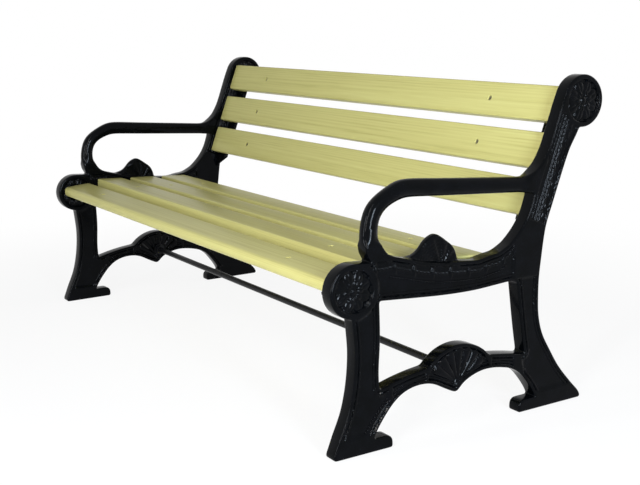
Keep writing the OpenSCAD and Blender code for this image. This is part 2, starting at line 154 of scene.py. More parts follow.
def section_loops(node, x, least_area):
    """The closed outlines in mm, as (Y, Z) points, where the plane at x cuts a CAD node."""
    bm = bmesh.new()
    bm.from_mesh(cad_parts[node].data)
    bmesh.ops.remove_doubles(bm, verts=bm.verts, dist=0.01 * MM)
    cut = bmesh.ops.bisect_plane(bm, geom=bm.verts[:] + bm.edges[:] + bm.faces[:], dist=1e-7,
                                 plane_co=(x * MM, 0, 0), plane_no=(1, 0, 0))["geom_cut"]
    edges = {e for e in cut if isinstance(e, bmesh.types.BMEdge)}
    loops = []
    while edges:
        edge = edges.pop()
        chain = [edge.verts[0], edge.verts[1]]
        while True:
            onward = [e for e in chain[-1].link_edges if e in edges]
            if not onward:
                break
            edges.discard(onward[0])
            chain.append(onward[0].other_vert(chain[-1]))
        points = np.array([(v.co.y / MM + Y_MID, v.co.z / MM) for v in chain])
        if len(points) > 3 and abs(loop_area(points)) > least_area:
            loops.append(points[:-1] if lengths(points[0] - points[-1]) < 0.01 else points)
    bm.free()
    return sorted(loops, key=lambda p: -abs(loop_area(p)))


def loop_area(p):
    """Signed area inside a closed loop, by the shoelace sum."""
    q = np.roll(p, -1, 0)
    return 0.5 * float((p[:, 0] * q[:, 1] - q[:, 0] * p[:, 1]).sum())


def resampled(loop, step, passes):
    """A closed loop at even steps, softened by moving each point halfway to its neighbours' middle."""
    closed = np.vstack([loop, loop[:1]])
    along = np.concatenate([[0], np.cumsum(lengths(np.diff(closed, axis=0)))])
    count = int(along[-1] / step)
    at = np.arange(count) * along[-1] / count
    p = np.stack([np.interp(at, along, closed[:, k]) for k in (0, 1)], 1)
    for _ in range(passes):
        p = 0.5 * p + 0.25 * (np.roll(p, 1, 0) + np.roll(p, -1, 0))
    return p


def eased_by_arm(loop, passes):
    """A closed loop whose corners are softened further beside the arm and in the bowl behind its foot.

    Each pass moves a point halfway to its neighbours' middle, times its share: 1 above the rail and in front
    of the stile, and 0 on the leaf and at the arm's foot.
    """
    p = loop.copy()
    for _ in range(passes):
        y, z = p[:, 0], p[:, 1]
        share = smooth((z - SEAT_H - 8) / 12) * smooth((-back_coords(p)[1] - 26) / 12)
        share[(y > 152) & (z < SEAT_H + 75)] = 0
        share[(y < 62) & (z < SEAT_H + 40)] = 0
        p += share[:, None] * (0.25 * (np.roll(p, 1, 0) + np.roll(p, -1, 0)) - 0.5 * p)
    return p


def edge_distance(points, loops):
    """Distance from each point to the nearest segment of any loop."""
    a = np.vstack(loops)
    b = np.vstack([np.roll(p, -1, 0) for p in loops])
    run = b - a
    squared = (run * run).sum(-1)
    best = np.empty(len(points))
    for start in range(0, len(points), BATCH):
        part = points[start:start + BATCH, None, :] - a[None]
        t = np.clip((part * run[None]).sum(-1) / squared[None], 0, 1)
        best[start:start + BATCH] = lengths(part - t[..., None] * run[None]).min(1)
    return best


def inside(points, loops):
    """True where a point lies inside an odd number of loops, counted along a ray in +Y."""
    result = np.zeros(len(points), bool)
    for loop in loops:
        a, b = loop, np.roll(loop, -1, 0)
        for start in range(0, len(points), BATCH):
            p = points[start:start + BATCH, None, :]
            spans = (a[None, :, 1] > p[..., 1]) != (b[None, :, 1] > p[..., 1])
            with np.errstate(divide="ignore", invalid="ignore"):
                y = a[None, :, 0] + (p[..., 1] - a[None, :, 1]) / (b - a)[None, :, 1] * (b - a)[None, :, 0]
            result[start:start + BATCH] ^= (spans & (y > p[..., 0])).sum(1) % 2 == 1
    return result


# Relief of the casting: heights in mm over (Y, Z)

def back_coords(p):
    """Distances u up the back and v behind the slats' front faces."""
    q = p - BACK_START
    return q @ BACK_DIR, q @ BACK_OUT


def rail_top(y):
    """Height of the rail's top edge under the arm."""
    return np.interp(y, [108, 145, 200, 250, 323, 365, 399, 429, 452, 469, 494],
                     SEAT_H + np.array([25, 15, 0, -9, -14, -17, -11, -7, 3, 13, 36]))


def leaf_share(p):
    """1 on the leaf that stands on the rail, 0 elsewhere."""
    y, z = p[:, 0], p[:, 1]
    return smooth((z - rail_top(y) + 3) / 6) * smooth((y - 145) / 24) * ((y < 312) & (z < SEAT_H + 62))


def arm_share(p):
    """1 along the arm, 0 on the plate, smooth where the arm meets the scroll and the stile."""
    y, z = p[:, 0], p[:, 1]
    v = back_coords(p)[1]
    loop_part = smooth((z - rail_top(y) - 26) / 20) * smooth((150 - y) / 40)
    top_part = smooth((z - (SEAT_H + 110)) / 20)
    return np.maximum(loop_part, top_part) * smooth((-v - 34) / 30)


def half_thickness(p):
    """Half the plate's thickness before relief."""
    arm, leaf = arm_share(p), leaf_share(p)
    return CASTING_T / 2 + arm * (ARM_T - CASTING_T) / 2 + leaf * (LEAF_T - CASTING_T) / 2


def edge_radius(p):
    """Radius of the rounding at the plate's edge: small on the plate, larger on the arm and the leaf."""
    return EDGE_R + (ARM_EDGE_R - EDGE_R) * arm_share(p) + LEAF_EDGE_MORE * leaf_share(p)


def edge_loss(d, r):
    """How far a quarter-round edge of radius r has dropped at distance d from the outline."""
    t = np.clip(1 - d / r, 0, 1)
    return r * (1 - np.sqrt(1 - t * t))


def dome(x, y=0):
    """Height of a half ball of radius 1 at (x, y) from its middle, and 0 beyond its rim."""
    return np.sqrt(np.clip(1 - x * x - y * y, 0, 1))


def border_bead(d):
    """A half-round bead beside the border at distance d from the outline, up to 1 high."""
    return dome((d - BEAD_D) / BEAD_R)


def ropes(s, t):
    """Ridges along s at each row's t, with a parabola's section and a faint beading, up to 1 high."""
    height = np.zeros(len(s))
    for row in ROPE_ROWS:
        x = (t - row) / ROPE_HALF
        height = np.maximum(height, np.clip(1 - x * x, 0, 1))
    return height * (0.96 + 0.04 * np.cos(2 * math.pi * s / ROPE_STEP))


def petals_and_beads(s, t):
    """A row of oval beads along s, with a taller upright petal at every fifth, up to 1 high."""
    k = np.floor(s / RAIL_BEAD_STEP)
    local = (s - (k + 0.5) * RAIL_BEAD_STEP) / RAIL_BEAD_HALF[0]
    tall = k % PETAL_EVERY == 0
    x = np.where(tall, 0.9, 1.0) * local
    y = t / np.where(tall, PETAL_HALF, RAIL_BEAD_HALF[1])
    return dome(x, y) * np.where(tall, 1.0, 0.75)


def rosette(p, centre, radius):
    """Two rings of petals round a boss, up to 1 high: each petal is a dome with a crease along its middle."""
    q = p - centre
    rho = lengths(q) / radius
    a = np.arctan2(q[:, 1], q[:, 0])
    height = dome(rho / 0.2)
    for petals, middle, reach, lift, turn in ((8, 0.64, 0.36, 0.85, 0.0), (6, 0.36, 0.22, 1.0, 0.3)):
        step = 2 * math.pi / petals
        local = (a + turn) % step - step / 2
        x = (rho - middle) / reach
        y = local * np.maximum(rho, 0.02) / (0.46 * step * middle * (1.25 + 0.5 * x))
        height = np.maximum(height, lift * dome(x, y) * (1 - 0.3 * np.exp(-(y / 0.14) ** 2)))
    return height


def shell(p):
    """A fan shell: round ribs that widen from its hub to a scalloped rim, round a boss, up to 1 high."""
    q = p - FAN_HUB
    rho = lengths(q)
    a = np.arctan2(q[:, 0], q[:, 1])
    ribs = 7
    spread = math.radians(128)
    k = (a / spread + 0.5) * ribs
    u = 2 * (k - np.floor(k)) - 1
    lobe = np.sqrt(np.clip(1 - 0.92 * u * u, 0, 1))
    fan = lobe * (0.35 + 0.65 * smooth((rho - 16) / 55)) * (np.abs(a) < spread / 2)
    rim = 1 - 0.9 * smooth((rho - 84 - 5 * lobe) / 5)
    return np.maximum(fan * rim * (rho > 10), dome(rho / 17))


def leaf_relief(p):
    """A bud of lobes that spread from its foot, each one beaded along its length, up to 1 high."""
    q = p - LEAF_FOOT
    a = np.arctan2(q[:, 0] - 0.12 * q[:, 1], q[:, 1])
    wave = np.cos(a * 11) * (0.35 + 0.65 * np.cos(2 * math.pi * lengths(q) / 17) ** 2)
    return 0.5 + 0.5 * np.sign(wave) * np.abs(wave) ** 0.6


def panel_fields(p):
    """How far each point lies inside the field of each sunk panel, in mm, before the border is taken off.

    It is the least distance to any of the panel's limits.
    """
    y, z = p[:, 0], p[:, 1]
    u, v = back_coords(p)
    to_scroll, to_head = lengths(p - SCROLL_C), lengths(p - HEAD_C)
    off_scroll = to_scroll - SCROLL_R - SCROLL_CLEAR
    foot = z - FOOT_TOP
    rear_leg_front = REAR_Y - REAR_LEG_IN - REAR_LEG_SLOPE * (z - REAR_LEG_BEND)
    low, high = z - BAND_LOW, BAND_HIGH - z
    limits = {
        "scroll": [SCROLL_R - DISC_BORDER - to_scroll],
        "head": [HEAD_R - DISC_BORDER - to_head],
        "front_leg": [off_scroll, foot, FRONT_LEG_BACK - y, FRONT_LEG_TOP - z],
        "rear_leg": [foot, RAIL_Z - 6 - z, y - rear_leg_front],
        "stile": [u + 8, to_head - HEAD_R + 1, v + STILE_FRONT - 5, STILE_TOP - u],
        "rail": [off_scroll, y - RAIL_FRONT, REAR_Y - RAIL_REAR_IN - y, rail_top(y) - RAIL_BORDER - z,
                 z - RAIL_Z + RAIL_UNDER],
        "front_band": [y - BAND_FRONT, FAN_Y - FAN_REACH - y, low, high],
        "rear_band": [REAR_Y - BAND_REAR_IN - y, y - FAN_Y - FAN_REACH, low, high],
        "fan": [FAN_REACH - lengths(p - FAN_HUB), z - FAN_LOW],
    }
    return {name: np.minimum.reduce(distances) for name, distances in limits.items()}


def relief(p, d):
    """Height lost under the plate's face at distance d from the outline.

    Each panel sinks by a smooth step inside its border, and its ornament rises from the sunk floor without
    passing the face. The leaf loses more between its lobes than on them.
    """
    fields = panel_fields(p)
    u, v = back_coords(p)
    y, z = p[:, 0], p[:, 1]
    within = d - BORDER + 2
    bold = np.maximum.reduce([fields["scroll"], fields["head"], fields["fan"]])
    deep = smooth(np.minimum(bold, within) / 4)
    share = smooth(np.minimum(np.maximum.reduce(list(fields.values())), within) / 3)
    drop = np.maximum(RELIEF * share, BOLD_RELIEF * deep)
    lift = np.maximum.reduce([
        (fields["scroll"] > -2) * BOLD_RELIEF * rosette(p, SCROLL_C, SCROLL_R - ROSETTE_BORDER),
        (fields["head"] > -2) * BOLD_RELIEF * rosette(p, HEAD_C, HEAD_R - ROSETTE_BORDER),
        (fields["fan"] > 0) * BOLD_RELIEF * shell(p)]) * deep
    rail_mid = rail_top(y) - RAIL_BEADS_DOWN
    beaded = np.maximum.reduce([smooth((7 - v) / 3)] + [
        smooth(fields[name] / 4) for name in ("front_leg", "rear_leg", "front_band", "rear_band")])
    fine = np.maximum.reduce([
        smooth(fields["stile"] / 4) * ropes(u, v),
        smooth(fields["rail"] / 4) * petals_and_beads(y, z - rail_mid),
        BEAD_LIFT * beaded * border_bead(d)])
    leaf = leaf_share(p) * (1 + 3 * (1 - leaf_relief(p)) * smooth((d - 3) / 6))
    return np.maximum(drop - lift - 0.95 * RELIEF * fine * share, 0) + leaf


def plate_points(loops):
    """Rings of points by the rounded edge and the bead, and a grid of points that is fine on ornament."""
    rings = []
    for loop in loops:
        along = np.roll(loop, -1, 0) - np.roll(loop, 1, 0)
        normal = np.stack([-along[:, 1], along[:, 0]], 1) / lengths(along)[:, None]
        if not inside(loop[:1] + 0.5 * normal[:1], loops)[0]:
            normal = -normal
        r = edge_radius(loop)
        for turn in (18, 36, 54, 72, 90):
            offset = r * (1 - math.cos(math.radians(turn)))
            rings.append((loop + offset[:, None] * normal, offset))
        for offset in (BORDER - 2, BORDER + 1, *(BEAD_D + BEAD_R * np.array([-1, -0.7, 0, 0.7, 1]))):
            rings.append((loop + offset * normal, np.full(len(loop), float(offset))))
    ring_points = np.vstack([p for p, _ in rings])
    ring_offsets = np.concatenate([offset for _, offset in rings])
    true = edge_distance(ring_points, loops)
    keep = (true > 0.97 * ring_offsets) & inside(ring_points, loops)
    keep &= (ring_offsets < BORDER - 3) | (edge_radius(ring_points) < EDGE_R + 3)
    ring_points = ring_points[keep]

    everything = np.vstack(loops)
    lo, hi = everything.min(0), everything.max(0)
    grids = []
    for pitch, fine in ((COARSE_PITCH, False), (FINE_PITCH, True)):
        rows = np.arange(lo[1], hi[1], pitch * 0.866)
        columns = np.arange(lo[0], hi[0], pitch)
        yy, zz = np.meshgrid(columns, rows)
        yy = yy + (np.arange(len(rows)) % 2)[:, None] * pitch / 2
        grid = np.stack([yy.ravel(), zz.ravel()], 1)
        grid = grid[(ornament_reach(grid) > 0) == fine]
        grid = grid[inside(grid, loops)]
        grids.append(grid[edge_distance(grid, loops) > edge_radius(grid) + 1])
    return ring_points, np.vstack(grids)


def ornament_reach(p):
    """Above 0 where the relief is fine enough to need a close grid."""
    fields = panel_fields(p)
    y, z = p[:, 0], p[:, 1]
    v = back_coords(p)[1]
    return np.maximum.reduce([
        fields["scroll"] + 4, fields["head"] + 4, fields["fan"] + 2,
        np.minimum(fields["stile"] + 2, 20 - v), np.minimum(fields["rail"] + 2, z - rail_top(y) + 46),
        fields["front_band"], fields["rear_band"], leaf_share(p) - 0.01])


def put_mesh(name, vertices, faces):
    """A mesh object in the scene, from arrays of vertices in metres and faces."""
    mesh = bpy.data.meshes.new(name)
    mesh.from_pydata(np.asarray(vertices).tolist(), [], [list(map(int, f)) for f in faces])
    mesh.update()
    piece = bpy.data.objects.new(name, mesh)
    bpy.context.scene.collection.objects.link(piece)
    return piece


def finish_mesh(piece, sharp_angle):
    """Merges doubles, turns faces outwards and shades smooth except over edges sharper than the angle."""
    bm = bmesh.new()
    bm.from_mesh(piece.data)
    bmesh.ops.remove_doubles(bm, verts=bm.verts, dist=0.002 * MM)
    bmesh.ops.recalc_face_normals(bm, faces=bm.faces)
    limit = math.radians(sharp_angle)
    for face in bm.faces:
        face.smooth = True
    for edge in bm.edges:
        edge.smooth = not (len(edge.link_faces) == 2 and edge.calc_face_angle(0) > limit)
    bm.to_mesh(piece.data)
    bm.free()


def bench_point(x, p):
    """Metres in the bench's frame from x in mm and (Y, Z) in mm."""
    x = np.broadcast_to(x, (len(p),))
    return np.stack([x, p[:, 0] - Y_MID, p[:, 1]], 1) * MM


def casting_shell():
    """The end frame as two relief faces over one triangulated outline, joined by its edge wall."""
    raw = section_loops("end_frame_right", OUTER_X - CASTING_T / 2 + 0.5, 1000)
    loops = [eased_by_arm(resampled(p, OUTLINE_STEP, OUTLINE_PASSES), ARM_PASSES) for p in raw]
    rings, grid = plate_points(loops)
    outline = np.vstack(loops)
    flat = np.vstack([outline, rings, grid])
    edges = []
    start = 0
    for loop in loops:
        n = len(loop)
        edges += [(start + i, start + (i + 1) % n) for i in range(n)]
        start += n
    verts, _, tris, origin, _, _ = geometry.delaunay_2d_cdt([Vector(p) for p in flat], edges, [], 0, 1e-4)
    points = np.array([tuple(v) for v in verts])
    tris = np.array(tris)
    tris = tris[inside(points[tris].mean(1), loops)]
    lookup = {min(src): i for i, src in enumerate(origin) if src}
    d = edge_distance(points, loops)
    d[[i for source, i in lookup.items() if source < len(outline)]] = 0
    half = half_thickness(points) - edge_loss(d, edge_radius(points))
    lost = relief(points, d)
    centre_x = OUTER_X - CASTING_T / 2
    outer = bench_point(centre_x + half - lost, points)
    inner = bench_point(centre_x - half + lost, points)
    n = len(points)
    walls = [(lookup[a], lookup[b], n + lookup[b], n + lookup[a]) for a, b in edges]
    faces = [tuple(t) for t in tris] + [tuple(t[::-1] + n) for t in tris] + walls
    return np.vstack([outer, inner]), faces


# Slats, flanges and irons, placed as the CAD model places them

SLAT_W = 93.5
SEAT_SLAT_T = 34
BACK_SLAT_T = 30
SLAT_EASE = 5
SLAT_END_EASE = 1.2
SLAT_STATIONS = 41
SLAT_SHARP = 22
SLAT_LEN = 2 * (WALL_X - 1)
SEAT_PITCH = SLAT_W + 31.5
BACK_PITCH = SLAT_W + 29
FRONT_TILT = math.radians(5)
SEAT_START = np.array([81, SEAT_H])
FRONT_EDGE = SEAT_START + [-33, -12]
LUG_W = 60
LUG_REACH = 62
LUG_T = 8
FLANGE_TAIL = 50
FLANGE_TAPER = 40
FLANGE_SHORT = 8
ROOT_DEEP = 6
IRON_T = 6
LEDGE_W = 10
LEDGE_T = 8
LEDGE_SHORT = 12
PLATE_EASE = 1.5
BOLT_X = WALL_X - 253
BOLT_HEAD_D = 13
BOLT_HEAD_H = 7
BOLT_SUNK = 4
BOLT_CLEAR = 0.6
BOLT_TURNS = 32


def on_back(u, v):
    """The (Y, Z) point at u up the back and v behind the slats' front faces."""
    return BACK_START + u * BACK_DIR + v * BACK_OUT


def seat_place(i):
    """(Y, Z) of the middle of a seat slat's hidden face, and the slat's turn about X."""
    if i == 0:
        c, s = math.cos(FRONT_TILT), math.sin(FRONT_TILT)
        return FRONT_EDGE - SLAT_W / 2 * np.array([c, s]) - SEAT_SLAT_T * np.array([-s, c]), FRONT_TILT
    along = np.array([math.cos(SEAT_DIP), -math.sin(SEAT_DIP)])
    up = np.array([math.sin(SEAT_DIP), math.cos(SEAT_DIP)])
    return SEAT_START + ((i - 1) * SEAT_PITCH + SLAT_W / 2) * along - SEAT_SLAT_T * up, -SEAT_DIP


def back_place(i):
    """(Y, Z) of the middle of a back slat's hidden face, and the slat's turn about X."""
    return on_back(i * BACK_PITCH + SLAT_W / 2, BACK_SLAT_T), math.pi / 2 - BACK_LEAN


SEAT_PLACES = [seat_place(i) for i in range(4)]
BACK_PLACES = [back_place(i) for i in range(3)]


def at_slat(place, q):
    """Metres in the bench's frame from (x, across, out) in mm at a slat's hidden face."""
    p, turn = place
    q = np.asarray(q, float)
    c, s = math.cos(turn), math.sin(turn)
    y = p[0] - Y_MID + c * q[:, 1] - s * q[:, 2]
    z = p[1] + s * q[:, 1] + c * q[:, 2]
    return np.stack([q[:, 0], y, z], 1) * MM


def eased_plate(outline, low, high):
    """A plate between two heights in mm, with an outline of (x, across) points and rounded edges."""
    bm = bmesh.new()
    ends = [[bm.verts.new((x, y, z)) for x, y in outline] for z in (low, high)]
    bm.faces.new(ends[0])
    bm.faces.new(ends[1])
    for i in range(len(outline)):
        j = (i + 1) % len(outline)
        bm.faces.new((ends[0][i], ends[0][j], ends[1][j], ends[1][i]))
    bmesh.ops.recalc_face_normals(bm, faces=bm.faces)
    bmesh.ops.bevel(bm, geom=bm.edges[:], offset=PLATE_EASE, segments=3, profile=0.5, affect="EDGES")
    points = np.array([tuple(v.co) for v in bm.verts])
    faces = [tuple(v.index for v in f.verts) for f in bm.faces]
    bm.free()
    return points, faces


def flange_outline(first, last, taper=0):
    """The (x, across) outline of a flange, cut back towards the frame at its first end."""
    free = WALL_X - LUG_REACH
    root = WALL_X + ROOT_DEEP
    return [(root, first), (WALL_X, first), (free, first + taper), (free, last), (root, last)]


def ledge_outline(first, last):
    """The (x, across) outline of a ledge."""
    free = WALL_X - LEDGE_W
    root = WALL_X + ROOT_DEEP
    return [(free, first), (free, last), (root, last), (root, first)]


def flange_and_ledge_parts():
    """The flanges under the irons and the ledges under the slats, as parts of the right end frame."""
    half = SLAT_W / 2
    seat_last = 2 * SEAT_PITCH + half
    back_last = 2 * BACK_PITCH + half
    back_flange = flange_outline(-half - FLANGE_TAIL, back_last - FLANGE_SHORT, FLANGE_TAPER)
    parts = []
    for place, outline, low, high in (
            (SEAT_PLACES[0], flange_outline(-LUG_W / 2, LUG_W / 2), -IRON_T - LUG_T, -IRON_T),
            (SEAT_PLACES[1], flange_outline(-half, seat_last), -IRON_T - LUG_T, -IRON_T),
            (BACK_PLACES[0], back_flange, -IRON_T - LUG_T, -IRON_T),
            (SEAT_PLACES[0], ledge_outline(LEDGE_SHORT - half, half), -LEDGE_T, 0),
            (SEAT_PLACES[1], ledge_outline(-half, seat_last), -LEDGE_T, 0),
            (BACK_PLACES[0], ledge_outline(-half, back_last), -LEDGE_T, 0)):
        q, faces = eased_plate(outline, low, high)
        parts.append((at_slat(place, q), faces))
    return parts


def half_balls(centres, radius):
    """Half balls on a plane that bulge along +X: a grid of polar angle and turn, with a flat base."""
    turns = 10
    tiers = 3
    polar = np.linspace(0, math.pi / 2, tiers + 1)[1:, None]
    turn = (np.arange(turns) * 2 * math.pi / turns)[None]
    across = np.sin(polar)
    rings = np.stack([np.cos(polar) + 0 * turn, across * np.cos(turn), across * np.sin(turn)], -1)
    ball = radius * np.vstack([[[1, 0, 0]], rings.reshape(-1, 3)])
    around = [(i, (i + 1) % turns) for i in range(turns)]
    last = 1 + (tiers - 1) * turns
    faces = [(0, 1 + i, 1 + j) for i, j in around] + [tuple(range(last, last + turns))]
    faces += [(1 + t * turns + i, 1 + (t + 1) * turns + i, 1 + (t + 1) * turns + j, 1 + t * turns + j)
              for t in range(tiers - 1) for i, j in around]
    points = (np.asarray(centres)[:, None] + ball[None]).reshape(-1, 3)
    return points, [tuple(i + k * len(ball) for i in f) for k in range(len(centres)) for f in faces]


def even_steps(path, step):
    """Points at even steps along a path of (Y, Z) points."""
    path = np.asarray(path, float)
    along = np.concatenate([[0], np.cumsum(lengths(np.diff(path, axis=0)))])
    at = np.arange(step / 2, along[-1], step)
    return np.stack([np.interp(at, along, path[:, k]) for k in (0, 1)], 1)


def pearl_rows():
    """Paths of pearls: one under the rail's beads and two along the front foot's arch."""
    rail_y = np.linspace(98, REAR_Y - 84, 24)
    rows = [np.stack([rail_y, rail_top(rail_y) - PEARLS_DOWN], 1)]
    climb = np.linspace(0, 1, 12)
    rows += [np.stack([24 + k + 86 * climb, 40 - 0.5 * k + 100 * climb ** 0.82], 1) for k in (0, 13)]
    return rows


def end_frame(name, side, plate):
    """An end frame: its plate, pearls, flanges and ledges. side is 1 at the right end and -1 at the left."""
    parts = [plate] + flange_and_ledge_parts()
    for row in pearl_rows():
        centres = bench_point(OUTER_X - RELIEF - 0.4, even_steps(row, PEARL_STEP))
        parts.append(half_balls(centres, PEARL_R * MM))
    vertices = []
    faces = []
    start = 0
    for points, part_faces in parts:
        vertices.append(points)
        faces += [tuple(int(i) + start for i in face) for face in part_faces]
        start += len(points)
    piece = put_mesh(name, np.vstack(vertices) * [side, 1, 1], faces)
    finish_mesh(piece, 50)
    return piece


def arc_points(centre, r, a0, a1, n):
    """n + 1 points of an arc, from angle a0 to a1 in degrees."""
    a = np.radians(np.linspace(a0, a1, n + 1))
    return np.stack([centre[0] + r * np.cos(a), centre[1] + r * np.sin(a)], 1)


def slat_section(t, bull):
    """A slat's (across, out) section: rounded long edges, and a rounder nose in front where bull is true."""
    w, e = SLAT_W / 2, SLAT_EASE
    f = t * 0.42 if bull else e
    return np.vstack([arc_points((w - e, t - e), e, 0, 90, 6), arc_points((f - w, t - f), f, 90, 180, 8),
                      arc_points((f - w, f), f, 180, 270, 8), arc_points((w - e, e), e, -90, 0, 6)])


def ring_faces(n, m):
    """The faces between m rings of n points, each ring joined to the next."""
    return [(k * n + i, k * n + (i + 1) % n, (k + 1) * n + (i + 1) % n, (k + 1) * n + i)
            for k in range(m - 1) for i in range(n)]


def slat(name, place, t, bull=False):
    """A slat: its section carried along X, smaller at its very ends, with a sunk seat for each bolt."""
    section = slat_section(t, bull)
    middle = section.mean(0)
    ease = SLAT_END_EASE
    ends = [(0.0, ease), (0.25 * ease, 0.35 * ease), (ease, 0.0)]
    half = SLAT_LEN / 2
    stations = [(-half + x, inset) for x, inset in ends]
    stations += [(x, 0.0) for x in np.linspace(-half, half, SLAT_STATIONS)[1:-1]]
    stations += [(half - x, inset) for x, inset in ends[::-1]]
    inward = (middle - section) / lengths(middle - section)[:, None]
    n, m = len(section), len(stations)
    grid = np.vstack([np.column_stack([np.full(n, x), section + inset * inward]) for x, inset in stations])
    faces = ring_faces(n, m)
    faces += [tuple(range(n)), tuple((m - 1) * n + i for i in range(n))[::-1]]
    piece = put_mesh(name, at_slat(place, grid), faces)
    finish_mesh(piece, SLAT_SHARP)
    cutters = [bolt_seat_cutter(place, x, t) for x in (-BOLT_X, BOLT_X)]
    for cutter in cutters:
        cut = piece.modifiers.new("bolt seat", "BOOLEAN")
        cut.operation = "DIFFERENCE"
        cut.solver = "EXACT"
        cut.object = cutter
    apply_modifiers(piece)
    for cutter in cutters:
        bpy.data.objects.remove(cutter)
    finish_mesh(piece, SLAT_SHARP)
    board_attribute(piece, place, t)
    return piece


def bolt_seat_cutter(place, x, t):
    """What a sunk bolt head's seat takes out of a slat: a cylinder whose mouth flares by 1.1 mm."""
    r = BOLT_HEAD_D / 2 + BOLT_CLEAR
    bottom = t - (BOLT_SUNK + BOLT_HEAD_H)
    top = t + 3
    profile = [(r, bottom), (r, t - 1.0), (r + 0.35, t - 0.35), (r + 1.1, t + 0.05), (r + 1.1, top)]
    n, m = BOLT_TURNS, len(profile)
    turn = np.linspace(0, 2 * math.pi, n + 1)[:-1]
    rings = [np.stack([x + a * np.cos(turn), a * np.sin(turn), np.full(n, b)], 1) for a, b in profile]
    points = np.vstack(rings + [[[x, 0, bottom], [x, 0, top]]])
    faces = ring_faces(n, m)
    faces += [((i + 1) % n, i, m * n) for i in range(n)]
    faces += [((m - 1) * n + i, (m - 1) * n + (i + 1) % n, m * n + 1) for i in range(n)]
    piece = put_mesh("bolt_seat_cutter", at_slat(place, points), faces)
    finish_mesh(piece, 40)
    return piece


def apply_modifiers(piece):
    """Makes the piece's evaluated mesh its own and takes its modifiers off."""
    graph = bpy.context.evaluated_depsgraph_get()
    mesh = bpy.data.meshes.new_from_object(piece.evaluated_get(graph))
    piece.modifiers.clear()
    piece.data = mesh


def board_attribute(piece, place, t):
    """Stores each point's place in its own board, in metres: along, across and out of its middle."""
    co = np.zeros(len(piece.data.vertices) * 3)
    piece.data.vertices.foreach_get("co", co)
    co = co.reshape(-1, 3) / MM
    p, turn = place
    c, s = math.cos(turn), math.sin(turn)
    y, z = co[:, 1] - (p[0] - Y_MID), co[:, 2] - p[1]
    local = np.stack([co[:, 0], c * y + s * z, -s * y + c * z - t / 2], 1) * MM
    attribute = piece.data.attributes.new("board", "FLOAT_VECTOR", "POINT")
    attribute.data.foreach_set("vector", local.astype(np.float32).ravel())


# Materials

def linear(hex_code):
    """An sRGB hex colour as linear RGBA."""
    value = np.array([int(hex_code[i:i + 2], 16) for i in (1, 3, 5)]) / 255
    rgb = np.where(value <= 0.04045, value / 12.92, ((value + 0.055) / 1.055) ** 2.4)
    return (*rgb.tolist(), 1.0)


def add_node(tree, kind, inputs=None, stops=(), **settings):
    """Adds a node, sets its properties, sets or links its inputs, and places a ramp's stops."""
    node = tree.nodes.new(kind)
    for key, value in settings.items():
        setattr(node, key, value)
    for socket, value in (inputs or {}).items():
        if isinstance(value, bpy.types.NodeSocket):
            tree.links.new(value, node.inputs[socket])
        else:
            node.inputs[socket].default_value = value
    if stops:
        elements = node.color_ramp.elements
        while len(elements) < len(stops):
            elements.new(1.0)
        for element, (position, colour) in zip(elements, stops):
            element.position = position
            element.color = linear(colour)
    return node


def empty_tree(holder):
    """The node tree of a new material or world, with its nodes taken out."""
    holder.use_nodes = True
    holder.node_tree.nodes.clear()
    return holder.node_tree


def new_material(name):
    """A node material that holds a shader and its output, with its tree and the shader."""
    material = bpy.data.materials.new(name)
    tree = empty_tree(material)
    shader = add_node(tree, "ShaderNodeBsdfPrincipled")
    add_node(tree, "ShaderNodeOutputMaterial", {"Surface": shader.outputs[0]})
    return material, tree, shader


def link_surface(tree, shader, shade, rough, bump):
    """Links the nodes that give a shader its base colour, its roughness and its bump."""
    for socket, node in (("Base Color", shade), ("Roughness", rough), ("Normal", bump)):
        tree.links.new(node.outputs[0], shader.inputs[socket])


def gloss_black_casting():
    """Cast grey iron under thick black gloss enamel, which softens the sand pits and the swell of the skin.

    Real pits are under 1 mm wide and wouldn't show in the render, so they are drawn 4.5 mm wide.
    """
    material, tree, shader = new_material("gloss_black_casting")
    place = add_node(tree, "ShaderNodeTexCoord").outputs["Object"]
    pits = add_node(tree, "ShaderNodeTexNoise",
                    {"Vector": place, "Scale": 1 / (4.5 * MM), "Detail": 4.0,
                     "Roughness": 0.6}).outputs["Fac"]
    swell = add_node(tree, "ShaderNodeTexNoise",
                     {"Vector": place, "Scale": 1 / (38 * MM), "Detail": 2.0}).outputs["Fac"]
    shade = add_node(tree, "ShaderNodeValToRGB", {0: swell}, stops=((0.35, "#020304"), (0.65, "#040507")))
    rough = add_node(tree, "ShaderNodeMapRange",
                     {"Value": pits, "From Min": 0.3, "From Max": 0.7, "To Min": 0.09, "To Max": 0.18})
    height = add_node(tree, "ShaderNodeMath", {0: pits, 1: swell}, operation="ADD").outputs[0]
    bump = add_node(tree, "ShaderNodeBump", {"Height": height, "Strength": 0.25, "Distance": 0.3 * MM})
    link_surface(tree, shader, shade, rough, bump)
    shader.inputs["IOR"].default_value = 1.5
    shader.inputs["Specular IOR Level"].default_value = 0.06
    return material


